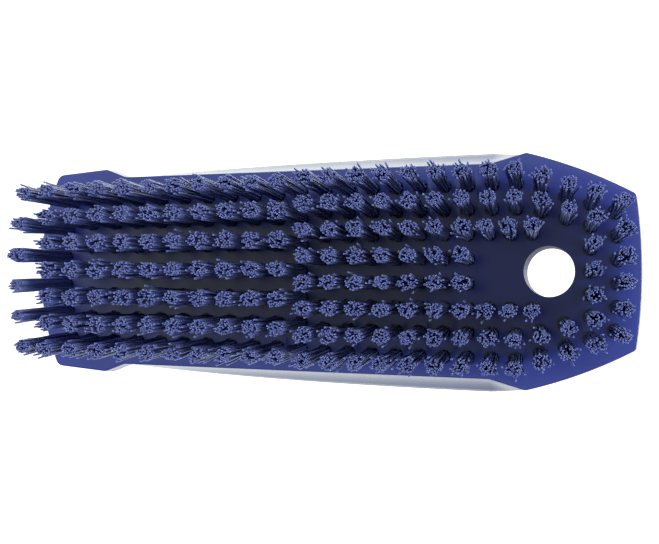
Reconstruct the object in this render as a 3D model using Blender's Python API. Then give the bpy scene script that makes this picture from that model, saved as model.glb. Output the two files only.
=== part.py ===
"""Hand scrub brush with a moulded block and rows of bristle tufts.

Metres, +Z up. The brush stands on its trimmed bristle tips at Z = 0, with the block on top.
+X points to the heel, where the hanging hole is, and -X to the toe. The origin is on the floor
below the middle of the whole brush. Each tuft row is one solid: a slice of the block with its
bristles standing in it, seated in a slot of the underside. In the source, "at" is a distance
from the middle of the toe edge towards the heel, and "side" is a distance from the centre line.
"""

import math

import bmesh
import bpy
from mathutils import Vector, geometry

MM = 0.001

# Outline of the underside
HEEL_END_AT = 195.7 * MM
HEEL_LENGTH = 36.5 * MM
HEEL_FLARE_AT = HEEL_END_AT - HEEL_LENGTH
HEEL_FLARE_RUN = 11.5 * MM
FLANK_END_AT = HEEL_FLARE_AT - HEEL_FLARE_RUN
TOE_FLARE_AT = 22.0 * MM
TOE_FLARE_RUN = 6.4 * MM
WAIST_AT = TOE_FLARE_AT + TOE_FLARE_RUN
TOE_EDGE_RADIUS = 84.0 * MM
TOE_CORNER_HALF_WIDTH = 31.2 * MM
TOE_FLARE_HALF_WIDTH = 33.1 * MM
WAIST_HALF_WIDTH = 30.6 * MM
FLANK_END_HALF_WIDTH = 34.4 * MM
HEEL_FLARE_HALF_WIDTH = 37.9 * MM
HEEL_SIDE_RADIUS = 150.0 * MM
HEEL_CORNER_HALF_WIDTH = 24.8 * MM
HEEL_EDGE_RADIUS = 170.0 * MM
TOE_CORNER_RADIUS = 2.6 * MM
TOE_FLARE_RADIUS = 2.4 * MM
WAIST_RADIUS = 4.0 * MM
FLANK_END_RADIUS = 1.6 * MM
HEEL_FLARE_RADIUS = 2.0 * MM
HEEL_CORNER_RADIUS = 1.6 * MM
RIM_RADIUS = 0.6 * MM

# Walls and rounded top, as heights above the underside
TOE_HEIGHT = 15.0 * MM
PALM_HEIGHT = 33.0 * MM
HEEL_HEIGHT = 25.0 * MM
PALM_AT = 108.0 * MM
WALL_SHARE = 0.62
WALL_DRAFT = 0.4 * MM
FINGER_RECESS = 4.2 * MM
RECESS_ONSET_POWER = 2.4
WALL_HOLLOW_POWER = 1.45
SHOULDER_SHARE = 0.93
SHOULDER_INSET_SIDE = 13.0 * MM
SHOULDER_INSET_END = 11.0 * MM

# Hanging hole
HOLE_DIAMETER = 16.2 * MM
HOLE_TO_HEEL_END = 29.1 * MM
HOLE_AT = HEEL_END_AT - HOLE_TO_HEEL_END
HOLE_TOP_CHAMFER = 1.2 * MM

# Tufts fan out like spokes from a point above the block
TUFT_LENGTH = 36.0 * MM
FAN_CENTRE_AT = 124.0 * MM
FAN_RADIUS_LENGTHWISE = 706.0 * MM
FAN_RADIUS_SIDEWAYS = 400.0 * MM
TUFT_STRAND_COUNT = 3
BEHIND_HOLE_STRAND_COUNT = 2
STRAND_SIDE_COUNT = 3
STRAND_ROOT_RADIUS = 0.9 * MM
STRAND_TIP_RADIUS = 1.0 * MM
ROOT_SPREAD = 1.1 * MM
TIP_SPREAD = 2.1 * MM

# Places of the tuft roots
TUFT_PITCH = 7.7 * MM
TOE_ROW_INSET = 8.5 * MM
TOE_ROW_BOW_RADIUS = 110.0 * MM
TOE_ROW_PITCH = 8.8 * MM
TOE_ROW_TUFT_COUNT = 6
TOE_ROW_TO_FIRST_COLUMN = 9.0 * MM
FRONT_COLUMN_COUNT = 10
FRONT_EDGE_MARGIN = 7.5 * MM
FRONT_ROW_SHARES = (-1.0, -0.675, -0.338, 0.0, 0.338, 0.675, 1.0)
REAR_EDGE_MARGIN = 6.7 * MM
REAR_ROW_KINDS = ("full", "full", "beside hole", "short", "short", "beside hole", "full", "full")
HOLE_FRONT_CLEARANCE = 14.0 * MM
HOLE_FLANK_TUFT_COUNT = 3
HOLE_FLANK_PITCH = 6.8 * MM
SLANT_TUFT_COUNT = 3
SLANT_RUN = 20.0 * MM
SLANT_EDGE_MARGIN = 8.9 * MM
SLANT_ROW_SPACING = 7.05 * MM
BEHIND_HOLE_SHARE = 0.36
BEHIND_HOLE_PITCH = 7.25 * MM
BEHIND_HOLE_TUFT_COUNT = 3
HEEL_ROW_INSET = 7.5 * MM
HEEL_ROW_PITCH = 7.5 * MM
HEEL_ROW_TUFT_COUNT = 6

# Slices of the block that hold the tufts, and their slots
SLICE_THICKNESS = 3.5 * MM
SLICE_MARGIN = 0.4 * MM
SLOT_CLEARANCE = 0.3 * MM

# Fineness of the meshes
ARC_STEP = math.radians(12.0)
EDGE_STEP_COUNT = 6
FLANK_STEP_COUNT = 12
HEEL_SIDE_STEP_COUNT = 6
RIM_STEP_COUNT = 2
WALL_STEP_COUNT = 3
SHOULDER_STEP_COUNT = 5
CROWN_STEP_COUNT = 3
HOLE_SIDE_COUNT = 48

# Colours
BLOCK_BLUE = (0.045, 0.058, 0.29, 1.0)
BRISTLE_BLUE = (0.10, 0.13, 0.46, 1.0)


def smooth_step(share):
    share = min(max(share, 0.0), 1.0)
    return share * share * (3.0 - 2.0 * share)


def sagitta(radius, half_chord):
    """How far an arc's end lies behind its middle."""
    return radius - math.sqrt(radius * radius - half_chord * half_chord)


def lerp(start, end, share):
    return start + (end - start) * share


def fillet(before, corner, after, radius):
    """Points of the arc that rounds a corner between its two neighbours."""
    to_before = (before - corner).normalized()
    to_after = (after - corner).normalized()
    half_angle = to_before.angle(to_after) / 2.0
    setback = radius / math.tan(half_angle)
    centre = corner + (to_before + to_after).normalized() * radius / math.sin(half_angle)
    start = corner + to_before * setback - centre
    end = corner + to_after * setback - centre
    turn = start.angle(end)
    steps = max(2, math.ceil(turn / ARC_STEP))
    points = []
    for step in range(steps + 1):
        share = step / steps
        first = math.sin((1.0 - share) * turn) / math.sin(turn)
        second = math.sin(share * turn) / math.sin(turn)
        points.append(centre + start * first + end * second)
    return points


def edge_arc(tip_at, radius, half_width, towards):
    """Half of a bowed end edge, from the centre line to one corner, both left out."""
    points = []
    for step in range(1, EDGE_STEP_COUNT):
        side = half_width * step / EDGE_STEP_COUNT
        points.append(Vector((tip_at + towards * sagitta(radius, side), side)))
    return points


def straight(start, end, steps):
    """Points between two ends, both left out."""
    return [start.lerp(end, step / steps) for step in range(1, steps)]


def bowed(start, end, radius, steps):
    """Points of an arc that bulges outwards between two ends, both left out."""
    half_chord = (end - start).length / 2.0
    along = (end - start).normalized()
    outward = Vector((-along.y, along.x))
    points = []
    for step in range(1, steps):
        share = step / steps
        off_middle = (2.0 * share - 1.0) * half_chord
        bulge = sagitta(radius, half_chord) - sagitta(radius, off_middle)
        points.append(start.lerp(end, share) + outward * bulge)
    return points


def heel_corner_at():
    return HEEL_END_AT - sagitta(HEEL_EDGE_RADIUS, HEEL_CORNER_HALF_WIDTH)


def half_outline():
    """Underside outline on the +side half, from the toe to the heel on the centre line."""
    toe_corner_at = sagitta(TOE_EDGE_RADIUS, TOE_CORNER_HALF_WIDTH)
    toe_corner = Vector((toe_corner_at, TOE_CORNER_HALF_WIDTH))
    toe_flare = Vector((TOE_FLARE_AT, TOE_FLARE_HALF_WIDTH))
    waist = Vector((WAIST_AT, WAIST_HALF_WIDTH))
    flank_end = Vector((FLANK_END_AT, FLANK_END_HALF_WIDTH))
    heel_flare = Vector((HEEL_FLARE_AT, HEEL_FLARE_HALF_WIDTH))
    heel_corner = Vector((heel_corner_at(), HEEL_CORNER_HALF_WIDTH))
    toe_edge = edge_arc(0.0, TOE_EDGE_RADIUS, TOE_CORNER_HALF_WIDTH, 1.0)
    heel_edge = edge_arc(HEEL_END_AT, HEEL_EDGE_RADIUS, HEEL_CORNER_HALF_WIDTH, -1.0)
    heel_edge.reverse()
    line = [(point, None) for point in [Vector((0.0, 0.0))] + toe_edge]
    line += [(toe_corner, TOE_CORNER_RADIUS), (toe_flare, TOE_FLARE_RADIUS), (waist, WAIST_RADIUS)]
    line += [(point, None) for point in straight(waist, flank_end, FLANK_STEP_COUNT)]
    line += [(flank_end, FLANK_END_RADIUS), (heel_flare, HEEL_FLARE_RADIUS)]
    heel_side = bowed(heel_flare, heel_corner, HEEL_SIDE_RADIUS, HEEL_SIDE_STEP_COUNT)
    line += [(point, None) for point in heel_side]
    line += [(heel_corner, HEEL_CORNER_RADIUS)]
    line += [(point, None) for point in heel_edge + [Vector((HEEL_END_AT, 0.0))]]
    points = []
    for index, (point, radius) in enumerate(line):
        if radius is None:
            points.append(point)
        else:
            points += fillet(line[index - 1][0], point, line[index + 1][0], radius)
    return points


def full_outline():
    """Closed outline: the +side half, then its mirror image back to the toe."""
    half = half_outline()
    mirrored = [Vector((point.x, -point.y)) for point in reversed(half[1:-1])]
    return half + mirrored


def outward_normals(outline):
    normals = []
    for index, point in enumerate(outline):
        before = outline[index - 1]
        after = outline[(index + 1) % len(outline)]
        into = (point - before).normalized()
        away = (after - point).normalized()
        along = (into + away).normalized()
        normals.append(Vector((-along.y, along.x)))
    return normals


def flank_half_width(at):
    """Half width of the straight flank line, carried on past both of its ends."""
    share = (at - WAIST_AT) / (FLANK_END_AT - WAIST_AT)
    return lerp(WAIST_HALF_WIDTH, FLANK_END_HALF_WIDTH, share)


def heel_half_width(at):
    """Half width of the straight line between the corners of the heel's slanting side."""
    share = (at - HEEL_FLARE_AT) / (heel_corner_at() - HEEL_FLARE_AT)
    return lerp(HEEL_FLARE_HALF_WIDTH, HEEL_CORNER_HALF_WIDTH, share)


def finger_recess(at):
    """How much further in the underside's edge lies than the top of the flank."""
    if at <= WAIST_AT or at >= HEEL_FLARE_AT:
        return 0.0
    if at > FLANK_END_AT:
        return FINGER_RECESS * (HEEL_FLARE_AT - at) / (HEEL_FLARE_AT - FLANK_END_AT)
    share = (at - WAIST_AT) / (FLANK_END_AT - WAIST_AT)
    return FINGER_RECESS * (1.0 - (1.0 - share) ** RECESS_ONSET_POWER)


def top_height(at):
    """Height of the ridge of the rounded top above the underside."""
    if at < PALM_AT:
        return lerp(TOE_HEIGHT, PALM_HEIGHT, smooth_step(at / PALM_AT))
    return lerp(PALM_HEIGHT, HEEL_HEIGHT, smooth_step((at - PALM_AT) / (HEEL_END_AT - PALM_AT)))


def block_rings():
    """Rings of points from the underside up over the shoulder, all with as many points."""
    outline = full_outline()
    normals = outward_normals(outline)
    rings = []
    for step in range(RIM_STEP_COUNT + 1):
        angle = math.pi / 2.0 * step / RIM_STEP_COUNT
        inset = RIM_RADIUS * (1.0 - math.sin(angle))
        height = RIM_RADIUS * (1.0 - math.cos(angle))
        ring = []
        for point, normal in zip(outline, normals):
            place = point - normal * inset
            ring.append(Vector((place.x, place.y, TUFT_LENGTH + height)))
        rings.append(ring)
    brow = []
    for point, normal in zip(outline, normals):
        place = point + normal * WALL_DRAFT
        place.y += math.copysign(finger_recess(point.x), point.y)
        brow.append(place)
    for step in range(1, WALL_STEP_COUNT + 1):
        share = step / WALL_STEP_COUNT
        rings.append([wall_point(*ends, share) for ends in zip(outline, brow)])
    middle_at = HEEL_END_AT / 2.0
    half_length = middle_at
    for step in range(1, SHOULDER_STEP_COUNT + 1):
        angle = math.pi / 2.0 * step / SHOULDER_STEP_COUNT
        inset = 1.0 - math.cos(angle)
        scale_at = 1.0 - inset * SHOULDER_INSET_END / half_length
        scale_side = 1.0 - inset * SHOULDER_INSET_SIDE / FLANK_END_HALF_WIDTH
        share = lerp(WALL_SHARE, SHOULDER_SHARE, math.sin(angle))
        rings.append([shoulder_point(p, middle_at, scale_at, scale_side, share) for p in brow])
    for step in range(1, CROWN_STEP_COUNT + 1):
        part = step / (CROWN_STEP_COUNT + 1)
        scale_at = 1.0 - (1.0 + part) * SHOULDER_INSET_END / half_length
        scale_side = (1.0 - SHOULDER_INSET_SIDE / FLANK_END_HALF_WIDTH) * (1.0 - part)
        share = lerp(SHOULDER_SHARE, 1.0, 1.0 - (1.0 - part) ** 2)
        rings.append([shoulder_point(p, middle_at, scale_at, scale_side, share) for p in brow])
    return rings


def wall_point(foot, brow, share):
    """A point of the wall, which curves outwards on its way up from the rim to the brow."""
    place = foot.lerp(brow, share**WALL_HOLLOW_POWER)
    height = lerp(RIM_RADIUS, WALL_SHARE * top_height(brow.x), share)
    return Vector((place.x, place.y, TUFT_LENGTH + height))


def shoulder_point(point, middle_at, scale_at, scale_side, share):
    at = middle_at + (point.x - middle_at) * scale_at
    return Vector((at, point.y * scale_side, TUFT_LENGTH + share * top_height(at)))


def add_object(name, mesh, material, parent):
    thing = bpy.data.objects.new(name, mesh)
    bpy.context.scene.collection.objects.link(thing)
    thing.parent = parent
    if material is not None:
        mesh.materials.append(material)
    return thing


def finish_mesh(name, shape):
    bmesh.ops.recalc_face_normals(shape, faces=shape.faces)
    mesh = bpy.data.meshes.new(name)
    shape.to_mesh(mesh)
    shape.free()
    return mesh


def plastic(name, colour, roughness):
    material = bpy.data.materials.new(name)
    material.use_nodes = True
    shader = material.node_tree.nodes["Principled BSDF"]
    shader.inputs["Base Color"].default_value = colour
    shader.inputs["Roughness"].default_value = roughness
    shader.inputs["Metallic"].default_value = 0.0
    return material


def block_mesh():
    shape = bmesh.new()
    rings = [[shape.verts.new(point) for point in ring] for ring in block_rings()]
    count = len(rings[0])
    for lower, upper in zip(rings, rings[1:]):
        for index in range(count):
            following = (index + 1) % count
            shape.faces.new((lower[index], lower[following], upper[following], upper[index]))
    shape.faces.new(list(reversed(rings[0])))
    ridge = rings[-1]
    for index in range(count // 2):
        corners = [ridge[index], ridge[index + 1], ridge[(-index - 1) % count], ridge[-index % count]]
        distinct = list(dict.fromkeys(corners))
        shape.faces.new(distinct)
    return finish_mesh("brush_block", shape)


def hole_cutter_mesh():
    """Bore of the hanging hole, with a cone above it that breaks the top rim."""
    top = TUFT_LENGTH + top_height(HOLE_AT)
    radius = HOLE_DIAMETER / 2.0
    reach = HOLE_DIAMETER
    profile = [
        (radius, TUFT_LENGTH - reach),
        (radius, top - HOLE_TOP_CHAMFER),
        (radius + reach, top - HOLE_TOP_CHAMFER + reach),
    ]
    shape = bmesh.new()
    rings = []
    for ring_radius, height in profile:
        ring = []
        for step in range(HOLE_SIDE_COUNT):
            angle = 2.0 * math.pi * step / HOLE_SIDE_COUNT
            at = HOLE_AT + ring_radius * math.cos(angle)
            ring.append(shape.verts.new((at, ring_radius * math.sin(angle), height)))
        rings.append(ring)
    for lower, upper in zip(rings, rings[1:]):
        for step in range(HOLE_SIDE_COUNT):
            following = (step + 1) % HOLE_SIDE_COUNT
            shape.faces.new((lower[step], lower[following], upper[following], upper[step]))
    shape.faces.new(list(reversed(rings[0])))
    shape.faces.new(rings[-1])
    return finish_mesh("hanging_hole_cutter", shape)


def evenly(count, pitch):
    """Distances of a centred row of places."""
    return [pitch * (index - (count - 1) / 2.0) for index in range(count)]


def column_at(column):
    return TOE_ROW_INSET + TOE_ROW_TO_FIRST_COLUMN + TUFT_PITCH * column


def columns_until(limit_at):
    """How many columns of the rear field fit in front of a place."""
    return math.floor((limit_at - column_at(FRONT_COLUMN_COUNT - 1)) / TUFT_PITCH)


def full_column_count():
    return columns_until(behind_hole_at() - SLANT_RUN)


def short_column_count():
    return columns_until(HOLE_AT - HOLE_DIAMETER / 2.0 - HOLE_FRONT_CLEARANCE)


def field_row(first_column, columns, share, edge_margin):
    """Roots of one lengthwise row, which spreads with the flanks towards the heel."""
    roots = []
    for column in range(first_column, first_column + columns):
        at = column_at(column)
        roots.append(Vector((at, share * (flank_half_width(at) - edge_margin))))
    return roots


def rear_row(number, kind):
    """Roots of one row of the rear field, with the rows numbered from 1 on the -side flank."""
    share = lerp(-1.0, 1.0, (number - 1) / (len(REAR_ROW_KINDS) - 1))
    if kind == "full":
        return field_row(FRONT_COLUMN_COUNT, full_column_count(), share, REAR_EDGE_MARGIN)
    roots = field_row(FRONT_COLUMN_COUNT, short_column_count(), share, REAR_EDGE_MARGIN)
    if kind == "beside hole":
        for step in range(1, HOLE_FLANK_TUFT_COUNT + 1):
            at = column_at(FRONT_COLUMN_COUNT + short_column_count() - 1) + HOLE_FLANK_PITCH * step
            roots.append(Vector((at, share * (flank_half_width(at) - REAR_EDGE_MARGIN))))
    return roots


def heel_row_at(side):
    return HEEL_END_AT - HEEL_ROW_INSET - sagitta(HEEL_EDGE_RADIUS, side)


def behind_hole_at():
    return lerp(HOLE_AT + HOLE_DIAMETER / 2.0, heel_row_at(0.0), BEHIND_HOLE_SHARE)


def slant_row(spacings_in, direction):
    """Roots of one row that closes in towards the heel, beside the hanging hole."""
    last_column_at = column_at(FRONT_COLUMN_COUNT + full_column_count() - 1)
    roots = []
    start_side = slant_side(lerp(last_column_at, behind_hole_at(), 1.0 / SLANT_TUFT_COUNT))
    end_side = slant_side(behind_hole_at())
    for tuft in range(SLANT_TUFT_COUNT):
        at = lerp(last_column_at, behind_hole_at(), (tuft + 1) / SLANT_TUFT_COUNT)
        side = lerp(start_side, end_side, tuft / (SLANT_TUFT_COUNT - 1))
        roots.append(Vector((at, direction * (side - spacings_in * SLANT_ROW_SPACING))))
    return roots


def slant_side(at):
    """Distance of the outer slanting row from the centre line."""
    return min(flank_half_width(at), heel_half_width(at)) - SLANT_EDGE_MARGIN


def tuft_rows():
    """Every tuft row: its name, its roots and the strands in each of its tufts."""
    rows = []
    toe = []
    for side in evenly(TOE_ROW_TUFT_COUNT, TOE_ROW_PITCH):
        toe.append(Vector((TOE_ROW_INSET + sagitta(TOE_ROW_BOW_RADIUS, side), side)))
    rows.append(("toe_tuft_row", toe, TUFT_STRAND_COUNT))
    for number, share in enumerate(FRONT_ROW_SHARES, start=1):
        roots = field_row(0, FRONT_COLUMN_COUNT, share, FRONT_EDGE_MARGIN)
        rows.append((f"front_tuft_row_{number}", roots, TUFT_STRAND_COUNT))
    for number, kind in enumerate(REAR_ROW_KINDS, start=1):
        rows.append((f"rear_tuft_row_{number}", rear_row(number, kind), TUFT_STRAND_COUNT))
    for place, spacings_in in (("outer", 0), ("inner", 1)):
        for hand, direction in (("right", -1.0), ("left", 1.0)):
            name = f"{place}_slant_tuft_row_{hand}"
            rows.append((name, slant_row(spacings_in, direction), TUFT_STRAND_COUNT))
    behind_sides = evenly(BEHIND_HOLE_TUFT_COUNT, BEHIND_HOLE_PITCH)
    behind = [Vector((behind_hole_at(), side)) for side in behind_sides]
    rows.append(("behind_hole_tuft_row", behind, BEHIND_HOLE_STRAND_COUNT))
    heel = [Vector((heel_row_at(side), side)) for side in evenly(HEEL_ROW_TUFT_COUNT, HEEL_ROW_PITCH)]
    rows.append(("heel_tuft_row", heel, TUFT_STRAND_COUNT))
    return rows


def tip_of(root):
    """Where a tuft that starts at this root meets the floor."""
    lean_at = (root.x - FAN_CENTRE_AT) * TUFT_LENGTH / FAN_RADIUS_LENGTHWISE
    lean_side = root.y * TUFT_LENGTH / FAN_RADIUS_SIDEWAYS
    return Vector((root.x + lean_at, root.y + lean_side))


def slice_frame(roots):
    """Middle line, direction and half width of the straight slice that holds a row."""
    along = (roots[-1] - roots[0]).normalized()
    across = Vector((-along.y, along.x))
    offsets = [(root - roots[0]).dot(across) for root in roots]
    shift = (min(offsets) + max(offsets)) / 2.0
    tuft_radius = ROOT_SPREAD + STRAND_ROOT_RADIUS
    half_width = (max(offsets) - min(offsets)) / 2.0 + tuft_radius + SLICE_MARGIN
    return roots[0] + across * shift, along, across, half_width


def slice_stations(roots, start, along):
    """Distances along a slice of its two ends and of the cuts midway between its tufts."""
    places = [(root - start).dot(along) for root in roots]
    overhang = ROOT_SPREAD + STRAND_ROOT_RADIUS + SLICE_MARGIN
    cuts = [(first + second) / 2.0 for first, second in zip(places, places[1:])]
    return [places[0] - overhang] + cuts + [places[-1] + overhang]


def strand_ring(shape, centre, height, spread, radius, angle):
    """Cross-section of one strand, at its place round the middle of its tuft."""
    middle_at = centre.x + spread * math.cos(angle)
    middle_side = centre.y + spread * math.sin(angle)
    ring = []
    for corner in range(STRAND_SIDE_COUNT):
        turn = angle + 2.0 * math.pi * corner / STRAND_SIDE_COUNT
        at = middle_at + radius * math.cos(turn)
        side = middle_side + radius * math.sin(turn)
        ring.append(shape.verts.new((at, side, height)))
    return ring


def add_tuft(shape, cell, root, strands, first_angle):
    """Strands of one tuft, and the part of the slice's face that they stand in."""
    tip = tip_of(root)
    feet = []
    for strand in range(strands):
        angle = first_angle + 2.0 * math.pi * strand / strands
        foot = strand_ring(shape, root, TUFT_LENGTH, ROOT_SPREAD, STRAND_ROOT_RADIUS, angle)
        end = strand_ring(shape, tip, 0.0, TIP_SPREAD, STRAND_TIP_RADIUS, angle)
        for corner in range(STRAND_SIDE_COUNT):
            following = (corner + 1) % STRAND_SIDE_COUNT
            shape.faces.new((foot[corner], foot[following], end[following], end[corner]))
        shape.faces.new(end)
        feet.append(foot)
    loops = [cell] + feet
    corners = [vertex for loop in loops for vertex in loop]
    for triangle in geometry.tessellate_polygon([[vertex.co for vertex in loop] for loop in loops]):
        shape.faces.new([corners[index] for index in triangle])


def tuft_row_mesh(name, roots, strands):
    """Slice of the block with the row's tufts, cut flat where their tips meet the floor."""
    start, along, across, half_width = slice_frame(roots)
    shape = bmesh.new()
    rings = []
    for station in slice_stations(roots, start, along):
        middle = start + along * station
        right = middle - across * half_width
        left = middle + across * half_width
        top = TUFT_LENGTH + SLICE_THICKNESS
        places = [(right, TUFT_LENGTH), (left, TUFT_LENGTH), (left, top), (right, top)]
        rings.append([shape.verts.new((place.x, place.y, height)) for place, height in places])
    for near, far in zip(rings, rings[1:]):
        for edge in range(1, len(near)):
            following = (edge + 1) % len(near)
            shape.faces.new((near[edge], near[following], far[following], far[edge]))
    shape.faces.new(rings[0])
    shape.faces.new(rings[-1])
    for tuft, root in enumerate(roots):
        near = rings[tuft]
        far = rings[tuft + 1]
        cell = [near[0], near[1], far[1], far[0]]
        add_tuft(shape, cell, root, strands, math.pi)
    return finish_mesh(name, shape)


def slot_cutter_mesh(rows):
    """All slots of the underside in one mesh, each a slice with its clearance."""
    shape = bmesh.new()
    for name, roots, strands in rows:
        start, along, across, half_width = slice_frame(roots)
        stations = slice_stations(roots, start, along)
        near = start + along * (stations[0] - SLOT_CLEARANCE)
        far = start + along * (stations[-1] + SLOT_CLEARANCE)
        reach = across * (half_width + SLOT_CLEARANCE)
        floor = [near - reach, far - reach, far + reach, near + reach]
        bottom = TUFT_LENGTH - SLICE_THICKNESS
        top = TUFT_LENGTH + SLICE_THICKNESS + SLOT_CLEARANCE
        lower = [shape.verts.new((place.x, place.y, bottom)) for place in floor]
        upper = [shape.verts.new((place.x, place.y, top)) for place in floor]
        for edge in range(len(floor)):
            following = (edge + 1) % len(floor)
            shape.faces.new((lower[edge], lower[following], upper[following], upper[edge]))
        shape.faces.new(lower)
        shape.faces.new(upper)
    return finish_mesh("slot_cutter", shape)


def cut(thing, cutter):
    """Take a cutter out of a thing. Slots that touch one another are cut as one."""
    cutter.hide_render = True
    cutter.display_type = "WIRE"
    modifier = thing.modifiers.new(cutter.name, "BOOLEAN")
    modifier.operation = "DIFFERENCE"
    modifier.solver = "EXACT"
    modifier.use_self = True
    modifier.object = cutter


def overall_middle_at(rows):
    """Midway between the foremost and the rearmost of the bristle tips and the block's ends."""
    tips = [tip_of(root).x for name, roots, strands in rows for root in roots]
    tuft_radius = TIP_SPREAD + STRAND_TIP_RADIUS
    foremost = min(-WALL_DRAFT, min(tips) - tuft_radius)
    rearmost = max(HEEL_END_AT + WALL_DRAFT, max(tips) + tuft_radius)
    return (foremost + rearmost) / 2.0


def build():
    for thing in list(bpy.data.objects):
        bpy.data.objects.remove(thing, do_unlink=True)
    rows = tuft_rows()
    brush = bpy.data.objects.new("brush", None)
    bpy.context.scene.collection.objects.link(brush)
    brush.location.x = -overall_middle_at(rows)
    block_plastic = plastic("block_plastic", BLOCK_BLUE, 0.3)
    bristle_plastic = plastic("bristle_plastic", BRISTLE_BLUE, 0.5)
    block = add_object("brush_block", block_mesh(), block_plastic, brush)
    cut(block, add_object("slot_cutter", slot_cutter_mesh(rows), None, brush))
    cut(block, add_object("hanging_hole_cutter", hole_cutter_mesh(), None, brush))
    for name, roots, strands in rows:
        add_object(name, tuft_row_mesh(name, roots, strands), bristle_plastic, brush)


build()
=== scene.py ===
"""Looks of the hand scrub brush: moulded plastic block, filament tufts, floor, light and camera.

Metres, +Z up, the CAD model's own frame. "at" is a distance from the middle of the toe edge
towards the heel, and "side" is a distance from the centre line, as in the part's source.
"""

import math  # noqa: E402
from collections import namedtuple  # noqa: E402

import bmesh  # noqa: E402
import bpy  # noqa: E402
import numpy as np  # noqa: E402
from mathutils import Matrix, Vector  # noqa: E402


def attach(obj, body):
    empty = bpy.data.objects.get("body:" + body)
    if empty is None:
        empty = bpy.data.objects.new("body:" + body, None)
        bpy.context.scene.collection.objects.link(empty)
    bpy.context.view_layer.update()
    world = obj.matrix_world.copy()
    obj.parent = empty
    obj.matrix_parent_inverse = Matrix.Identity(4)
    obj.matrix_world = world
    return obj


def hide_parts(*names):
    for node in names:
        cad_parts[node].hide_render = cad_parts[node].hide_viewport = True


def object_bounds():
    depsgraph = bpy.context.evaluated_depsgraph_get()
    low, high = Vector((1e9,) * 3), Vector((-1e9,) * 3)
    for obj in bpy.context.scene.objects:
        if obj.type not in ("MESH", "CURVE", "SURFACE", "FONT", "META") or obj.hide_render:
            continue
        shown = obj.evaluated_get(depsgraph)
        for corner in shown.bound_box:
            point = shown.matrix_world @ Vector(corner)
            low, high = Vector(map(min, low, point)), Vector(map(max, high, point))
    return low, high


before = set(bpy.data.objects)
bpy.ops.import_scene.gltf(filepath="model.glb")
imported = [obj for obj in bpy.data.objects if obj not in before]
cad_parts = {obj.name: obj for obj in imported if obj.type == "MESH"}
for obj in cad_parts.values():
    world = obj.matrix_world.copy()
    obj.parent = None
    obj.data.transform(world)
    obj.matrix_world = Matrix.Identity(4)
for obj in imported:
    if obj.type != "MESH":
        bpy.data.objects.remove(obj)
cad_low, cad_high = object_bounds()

MM = 0.001

# Outline of the underside, as in the part's source but for a sharper end of the flank
HEEL_END_AT = 195.7 * MM
HEEL_FLARE_AT = 159.2 * MM
FLANK_END_AT = 147.7 * MM
TOE_FLARE_AT = 22.0 * MM
WAIST_AT = 28.4 * MM
TOE_EDGE_RADIUS = 84.0 * MM
TOE_CORNER_HALF_WIDTH = 31.2 * MM
TOE_FLARE_HALF_WIDTH = 33.1 * MM
WAIST_HALF_WIDTH = 30.6 * MM
FLANK_END_HALF_WIDTH = 34.4 * MM
HEEL_FLARE_HALF_WIDTH = 37.9 * MM
HEEL_SIDE_RADIUS = 150.0 * MM
HEEL_CORNER_HALF_WIDTH = 24.8 * MM
HEEL_EDGE_RADIUS = 170.0 * MM
TOE_CORNER_RADIUS = 2.6 * MM
TOE_FLARE_RADIUS = 2.4 * MM
WAIST_RADIUS = 4.0 * MM
FLANK_END_RADIUS = 0.8 * MM
HEEL_FLARE_RADIUS = 2.0 * MM
HEEL_CORNER_RADIUS = 1.6 * MM
RIM_RADIUS = 0.6 * MM

# Walls and rounded top
UNDERSIDE = 36.0 * MM
TOE_HEIGHT = 15.0 * MM
HEEL_HEIGHT = 25.0 * MM
PALM_AT = 108.0 * MM
PALM_HEIGHT = cad_high.z - UNDERSIDE
WALL_SHARE = 0.62
WALL_DRAFT = 0.4 * MM
MIDDLE_AT = HEEL_END_AT + WALL_DRAFT - cad_high.x
FINGER_RECESS = 4.2 * MM
RECESS_ONSET_POWER = 2.4
WALL_HOLLOW_POWER = 1.45
SHOULDER_SHARE = 0.93
SHOULDER_INSET_SIDE = 13.0 * MM
SHOULDER_INSET_END = 11.0 * MM

# Hanging hole and the blind holes of the tufts
HOLE_DIAMETER = 16.2 * MM
HOLE_TO_HEEL_END = 29.1 * MM
HOLE_AT = HEEL_END_AT - HOLE_TO_HEEL_END
HOLE_TOP_CHAMFER = 1.2 * MM
TUFT_HOLE_RADIUS = 2.45 * MM
TUFT_HOLE_DEPTH = 3.0 * MM

# Tufts
FAN_CENTRE_AT = 124.0 * MM
FAN_RADIUS_LENGTHWISE = 706.0 * MM
FAN_RADIUS_SIDEWAYS = 400.0 * MM
TUFT_PITCH = 7.7 * MM
TOE_ROW_INSET = 8.5 * MM
TOE_ROW_BOW_RADIUS = 110.0 * MM
TOE_ROW_PITCH = 8.8 * MM
TOE_ROW_TUFT_COUNT = 6
FIRST_COLUMN_AT = 17.5 * MM
FRONT_COLUMN_COUNT = 10
FRONT_EDGE_MARGIN = 7.5 * MM
FRONT_ROW_SHARES = (-1.0, -0.675, -0.338, 0.0, 0.338, 0.675, 1.0)
REAR_EDGE_MARGIN = 6.7 * MM
REAR_COLUMN_COUNTS = (9, 9, 7, 7, 7, 7, 9, 9)
ROWS_BESIDE_HOLE = (3, 6)
HOLE_FLANK_TUFT_COUNT = 3
HOLE_FLANK_PITCH = 6.8 * MM
SLANT_TUFT_COUNT = 3
SLANT_EDGE_MARGIN = 8.9 * MM
SLANT_ROW_SPACING = 7.05 * MM
BEHIND_HOLE_SHARE = 0.36
BEHIND_HOLE_PITCH = 7.25 * MM
BEHIND_HOLE_TUFT_COUNT = 3
HEEL_ROW_INSET = 7.5 * MM
HEEL_ROW_PITCH = 7.5 * MM
HEEL_ROW_TUFT_COUNT = 6

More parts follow.
